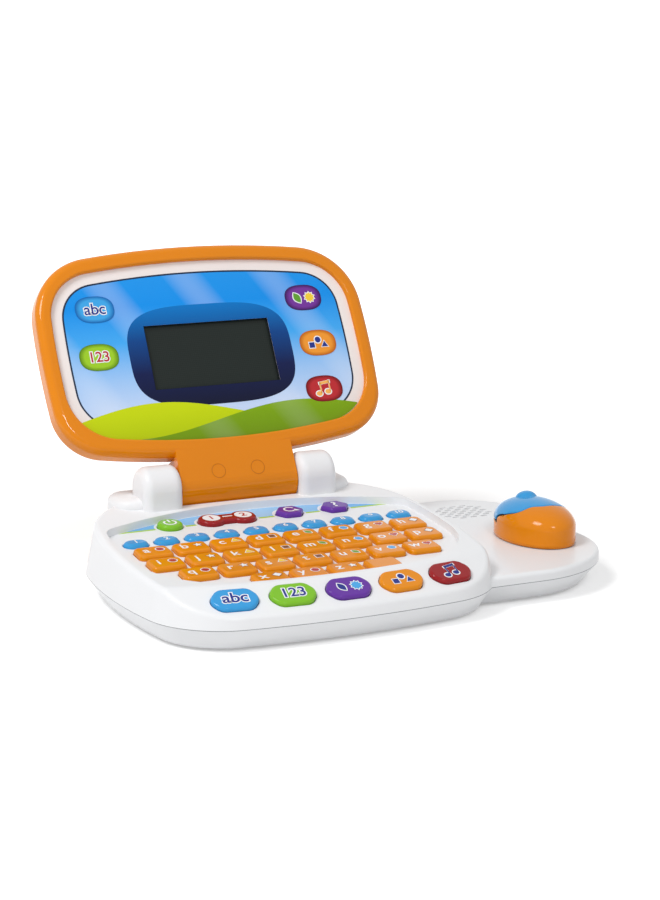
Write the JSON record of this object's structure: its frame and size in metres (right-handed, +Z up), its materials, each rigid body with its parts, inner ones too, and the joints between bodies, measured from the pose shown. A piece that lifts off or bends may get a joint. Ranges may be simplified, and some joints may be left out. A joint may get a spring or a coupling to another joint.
{
  "type": "toy laptop computer",
  "caption": "Toy laptop computer with a hinged screen lid, sprung letter, number and mode keys, and a captive sliding mouse on a side wing.",
  "frame": {"origin": "on the table plane under the middle of the whole object with the lid open, at the underside of the rubber feet", "axes": "+X to the player's right, towards the wing with the mouse; +Y away from the player; +Z up"},
  "size_m": [0.309, 0.2547, 0.1928],
  "materials": {
    "white_case": "satin",
    "orange_shell": "gloss",
    "orange_key": "gloss",
    "blue_key": "gloss",
    "green_key": "gloss",
    "purple_key": "gloss",
    "red_key": "gloss",
    "panel_print": "satin",
    "display": "gloss",
    "board": "matte",
    "speaker_unit": "matte",
    "cell": "satin",
    "foot_rubber": "matte",
    "slider_plastic": "matte"
  },
  "bodies": {
    "base": {"upper_case": "white_case", "lower_case": "white_case", "battery_door": "white_case", "batteries": "cell", "circuit_board": "board", "speaker": "speaker_unit", "rubber_feet": "foot_rubber"},
    "lid": {"lid_frame": "orange_shell", "lid_back": "orange_shell", "screen_panel": "panel_print", "lcd_module": "display"},
    "number_key_1": {"number_key_1": "blue_key"},
    "number_key_2": {"number_key_2": "blue_key"},
    "number_key_3": {"number_key_3": "blue_key"},
    "number_key_4": {"number_key_4": "blue_key"},
    "number_key_5": {"number_key_5": "blue_key"},
    "number_key_6": {"number_key_6": "blue_key"},
    "number_key_7": {"number_key_7": "blue_key"},
    "number_key_8": {"number_key_8": "blue_key"},
    "number_key_9": {"number_key_9": "blue_key"},
    "number_key_10": {"number_key_10": "blue_key"},
    "letter_key_a": {"letter_key_a": "orange_key"},
    "letter_key_b": {"letter_key_b": "orange_key"},
    "letter_key_c": {"letter_key_c": "orange_key"},
    "letter_key_d": {"letter_key_d": "orange_key"},
    "letter_key_e": {"letter_key_e": "orange_key"},
    "letter_key_f": {"letter_key_f": "orange_key"},
    "letter_key_g": {"letter_key_g": "orange_key"},
    "letter_key_h": {"letter_key_h": "orange_key"},
    "letter_key_i": {"letter_key_i": "orange_key"},
    "letter_key_j": {"letter_key_j": "orange_key"},
    "letter_key_k": {"letter_key_k": "orange_key"},
    "letter_key_l": {"letter_key_l": "orange_key"},
    "letter_key_m": {"letter_key_m": "orange_key"},
    "letter_key_n": {"letter_key_n": "orange_key"},
    "letter_key_o": {"letter_key_o": "orange_key"},
    "letter_key_p": {"letter_key_p": "orange_key"},
    "letter_key_q": {"letter_key_q": "orange_key"},
    "letter_key_r": {"letter_key_r": "orange_key"},
    "letter_key_s": {"letter_key_s": "orange_key"},
    "letter_key_t": {"letter_key_t": "orange_key"},
    "letter_key_u": {"letter_key_u": "orange_key"},
    "letter_key_v": {"letter_key_v": "orange_key"},
    "letter_key_w": {"letter_key_w": "orange_key"},
    "letter_key_x": {"letter_key_x": "orange_key"},
    "letter_key_y": {"letter_key_y": "orange_key"},
    "letter_key_z": {"letter_key_z": "orange_key"},
    "blank_key": {"blank_key": "orange_key"},
    "power_button": {"power_button": "green_key"},
    "player_button": {"player_button": "red_key"},
    "hex_button_left": {"hex_button_left": "purple_key"},
    "hex_button_right": {"hex_button_right": "purple_key"},
    "mode_button_blue": {"mode_button_blue": "blue_key"},
    "mode_button_green": {"mode_button_green": "green_key"},
    "mode_button_purple": {"mode_button_purple": "purple_key"},
    "mode_button_orange": {"mode_button_orange": "orange_key"},
    "mode_button_red": {"mode_button_red": "red_key"},
    "mouse_slider": {"mouse_slider": "slider_plastic"},
    "mouse_shell": {"mouse_shell": "orange_shell"},
    "mouse_button": {"mouse_button": "blue_key"}
  },
  "joints": [
    {"name": "lid_hinge", "type": "hinge", "parent": "base", "child": "lid", "pos_m": [-0.0435, 0.0466, 0.0555], "axis": [1, 0, 0], "range_deg": [0, 124]},
    {"name": "number_key_1_press", "type": "slide", "parent": "base", "child": "number_key_1", "axis": [0, 0.0906, -0.9959], "range_m": [0, 0.002], "stiffness_N_per_m": 200, "springref_m": -0.002},
    {"name": "number_key_2_press", "type": "slide", "parent": "base", "child": "number_key_2", "axis": [0, 0.0906, -0.9959], "range_m": [0, 0.002], "stiffness_N_per_m": 200, "springref_m": -0.002},
    {"name": "number_key_3_press", "type": "slide", "parent": "base", "child": "number_key_3", "axis": [0, 0.0906, -0.9959], "range_m": [0, 0.002], "stiffness_N_per_m": 200, "springref_m": -0.002},
    {"name": "number_key_4_press", "type": "slide", "parent": "base", "child": "number_key_4", "axis": [0, 0.0906, -0.9959], "range_m": [0, 0.002], "stiffness_N_per_m": 200, "springref_m": -0.002},
    {"name": "number_key_5_press", "type": "slide", "parent": "base", "child": "number_key_5", "axis": [0, 0.0906, -0.9959], "range_m": [0, 0.002], "stiffness_N_per_m": 200, "springref_m": -0.002},
    {"name": "number_key_6_press", "type": "slide", "parent": "base", "child": "number_key_6", "axis": [0, 0.0906, -0.9959], "range_m": [0, 0.002], "stiffness_N_per_m": 200, "springref_m": -0.002},
    {"name": "number_key_7_press", "type": "slide", "parent": "base", "child": "number_key_7", "axis": [0, 0.0906, -0.9959], "range_m": [0, 0.002], "stiffness_N_per_m": 200, "springref_m": -0.002},
    {"name": "number_key_8_press", "type": "slide", "parent": "base", "child": "number_key_8", "axis": [0, 0.0906, -0.9959], "range_m": [0, 0.002], "stiffness_N_per_m": 200, "springref_m": -0.002},
    {"name": "number_key_9_press", "type": "slide", "parent": "base", "child": "number_key_9", "axis": [0, 0.0906, -0.9959], "range_m": [0, 0.002], "stiffness_N_per_m": 200, "springref_m": -0.002},
    {"name": "number_key_10_press", "type": "slide", "parent": "base", "child": "number_key_10", "axis": [0, 0.0906, -0.9959], "range_m": [0, 0.002], "stiffness_N_per_m": 200, "springref_m": -0.002},
    {"name": "letter_key_a_press", "type": "slide", "parent": "base", "child": "letter_key_a", "axis": [0, 0.0906, -0.9959], "range_m": [0, 0.002], "stiffness_N_per_m": 200, "springref_m": -0.002},
    {"name": "letter_key_b_press", "type": "slide", "parent": "base", "child": "letter_key_b", "axis": [0, 0.0906, -0.9959], "range_m": [0, 0.002], "stiffness_N_per_m": 200, "springref_m": -0.002},
    {"name": "letter_key_c_press", "type": "slide", "parent": "base", "child": "letter_key_c", "axis": [0, 0.0906, -0.9959], "range_m": [0, 0.002], "stiffness_N_per_m": 200, "springref_m": -0.002},
    {"name": "letter_key_d_press", "type": "slide", "parent": "base", "child": "letter_key_d", "axis": [0, 0.0906, -0.9959], "range_m": [0, 0.002], "stiffness_N_per_m": 200, "springref_m": -0.002},
    {"name": "letter_key_e_press", "type": "slide", "parent": "base", "child": "letter_key_e", "axis": [0, 0.0906, -0.9959], "range_m": [0, 0.002], "stiffness_N_per_m": 200, "springref_m": -0.002},
    {"name": "letter_key_f_press", "type": "slide", "parent": "base", "child": "letter_key_f", "axis": [0, 0.0906, -0.9959], "range_m": [0, 0.002], "stiffness_N_per_m": 200, "springref_m": -0.002},
    {"name": "letter_key_g_press", "type": "slide", "parent": "base", "child": "letter_key_g", "axis": [0, 0.0906, -0.9959], "range_m": [0, 0.002], "stiffness_N_per_m": 200, "springref_m": -0.002},
    {"name": "letter_key_h_press", "type": "slide", "parent": "base", "child": "letter_key_h", "axis": [0, 0.0906, -0.9959], "range_m": [0, 0.002], "stiffness_N_per_m": 200, "springref_m": -0.002},
    {"name": "letter_key_i_press", "type": "slide", "parent": "base", "child": "letter_key_i", "axis": [0, 0.0906, -0.9959], "range_m": [0, 0.002], "stiffness_N_per_m": 200, "springref_m": -0.002},
    {"name": "letter_key_j_press", "type": "slide", "parent": "base", "child": "letter_key_j", "axis": [0, 0.0906, -0.9959], "range_m": [0, 0.002], "stiffness_N_per_m": 200, "springref_m": -0.002},
    {"name": "letter_key_k_press", "type": "slide", "parent": "base", "child": "letter_key_k", "axis": [0, 0.0906, -0.9959], "range_m": [0, 0.002], "stiffness_N_per_m": 200, "springref_m": -0.002},
    {"name": "letter_key_l_press", "type": "slide", "parent": "base", "child": "letter_key_l", "axis": [0, 0.0906, -0.9959], "range_m": [0, 0.002], "stiffness_N_per_m": 200, "springref_m": -0.002},
    {"name": "letter_key_m_press", "type": "slide", "parent": "base", "child": "letter_key_m", "axis": [0, 0.0906, -0.9959], "range_m": [0, 0.002], "stiffness_N_per_m": 200, "springref_m": -0.002},
    {"name": "letter_key_n_press", "type": "slide", "parent": "base", "child": "letter_key_n", "axis": [0, 0.0906, -0.9959], "range_m": [0, 0.002], "stiffness_N_per_m": 200, "springref_m": -0.002},
    {"name": "letter_key_o_press", "type": "slide", "parent": "base", "child": "letter_key_o", "axis": [0, 0.0906, -0.9959], "range_m": [0, 0.002], "stiffness_N_per_m": 200, "springref_m": -0.002},
    {"name": "letter_key_p_press", "type": "slide", "parent": "base", "child": "letter_key_p", "axis": [0, 0.0906, -0.9959], "range_m": [0, 0.002], "stiffness_N_per_m": 200, "springref_m": -0.002},
    {"name": "letter_key_q_press", "type": "slide", "parent": "base", "child": "letter_key_q", "axis": [0, 0.0906, -0.9959], "range_m": [0, 0.002], "stiffness_N_per_m": 200, "springref_m": -0.002},
    {"name": "letter_key_r_press", "type": "slide", "parent": "base", "child": "letter_key_r", "axis": [0, 0.0906, -0.9959], "range_m": [0, 0.002], "stiffness_N_per_m": 200, "springref_m": -0.002},
    {"name": "letter_key_s_press", "type": "slide", "parent": "base", "child": "letter_key_s", "axis": [0, 0.0906, -0.9959], "range_m": [0, 0.002], "stiffness_N_per_m": 200, "springref_m": -0.002},
    {"name": "letter_key_t_press", "type": "slide", "parent": "base", "child": "letter_key_t", "axis": [0, 0.0906, -0.9959], "range_m": [0, 0.002], "stiffness_N_per_m": 200, "springref_m": -0.002},
    {"name": "letter_key_u_press", "type": "slide", "parent": "base", "child": "letter_key_u", "axis": [0, 0.0906, -0.9959], "range_m": [0, 0.002], "stiffness_N_per_m": 200, "springref_m": -0.002},
    {"name": "letter_key_v_press", "type": "slide", "parent": "base", "child": "letter_key_v", "axis": [0, 0.0906, -0.9959], "range_m": [0, 0.002], "stiffness_N_per_m": 200, "springref_m": -0.002},
    {"name": "letter_key_w_press", "type": "slide", "parent": "base", "child": "letter_key_w", "axis": [0, 0.0906, -0.9959], "range_m": [0, 0.002], "stiffness_N_per_m": 200, "springref_m": -0.002},
    {"name": "letter_key_x_press", "type": "slide", "parent": "base", "child": "letter_key_x", "axis": [0, 0.0906, -0.9959], "range_m": [0, 0.002], "stiffness_N_per_m": 200, "springref_m": -0.002},
    {"name": "letter_key_y_press", "type": "slide", "parent": "base", "child": "letter_key_y", "axis": [0, 0.0906, -0.9959], "range_m": [0, 0.002], "stiffness_N_per_m": 200, "springref_m": -0.002},
    {"name": "letter_key_z_press", "type": "slide", "parent": "base", "child": "letter_key_z", "axis": [0, 0.0906, -0.9959], "range_m": [0, 0.002], "stiffness_N_per_m": 200, "springref_m": -0.002},
    {"name": "blank_key_press", "type": "slide", "parent": "base", "child": "blank_key", "axis": [0, 0.0906, -0.9959], "range_m": [0, 0.002], "stiffness_N_per_m": 200, "springref_m": -0.002},
    {"name": "power_button_press", "type": "slide", "parent": "base", "child": "power_button", "axis": [0, 0.0906, -0.9959], "range_m": [0, 0.002], "stiffness_N_per_m": 200, "springref_m": -0.002},
    {"name": "player_button_press", "type": "slide", "parent": "base", "child": "player_button", "axis": [0, 0.0906, -0.9959], "range_m": [0, 0.002], "stiffness_N_per_m": 200, "springref_m": -0.002},
    {"name": "hex_button_left_press", "type": "slide", "parent": "base", "child": "hex_button_left", "axis": [0, 0.0906, -0.9959], "range_m": [0, 0.002], "stiffness_N_per_m": 200, "springref_m": -0.002},
    {"name": "hex_button_right_press", "type": "slide", "parent": "base", "child": "hex_button_right", "axis": [0, 0.0906, -0.9959], "range_m": [0, 0.002], "stiffness_N_per_m": 200, "springref_m": -0.002},
    {"name": "mode_button_blue_press", "type": "slide", "parent": "base", "child": "mode_button_blue", "axis": [0.0624, 0.4339, -0.8988], "range_m": [0, 0.002], "stiffness_N_per_m": 200, "springref_m": -0.002},
    {"name": "mode_button_green_press", "type": "slide", "parent": "base", "child": "mode_button_green", "axis": [0.0313, 0.4373, -0.8988], "range_m": [0, 0.002], "stiffness_N_per_m": 200, "springref_m": -0.002},
    {"name": "mode_button_purple_press", "type": "slide", "parent": "base", "child": "mode_button_purple", "axis": [0, 0.4384, -0.8988], "range_m": [0, 0.002], "stiffness_N_per_m": 200, "springref_m": -0.002},
    {"name": "mode_button_orange_press", "type": "slide", "parent": "base", "child": "mode_button_orange", "axis": [-0.0313, 0.4373, -0.8988], "range_m": [0, 0.002], "stiffness_N_per_m": 200, "springref_m": -0.002},
    {"name": "mode_button_red_press", "type": "slide", "parent": "base", "child": "mode_button_red", "axis": [-0.0624, 0.4339, -0.8988], "range_m": [0, 0.002], "stiffness_N_per_m": 200, "springref_m": -0.002},
    {"name": "mouse_across", "type": "slide", "parent": "base", "child": "mouse_slider", "axis": [1, 0, 0], "range_m": [-0.003, 0.003]},
    {"name": "mouse_along", "type": "slide", "parent": "mouse_slider", "child": "mouse_shell", "axis": [0, 1, 0], "range_m": [-0.003, 0.003]},
    {"name": "mouse_click", "type": "slide", "parent": "mouse_shell", "child": "mouse_button", "axis": [0, 0, -1], "range_m": [0, 0.0015], "stiffness_N_per_m": 300, "springref_m": -0.002}
  ]
}
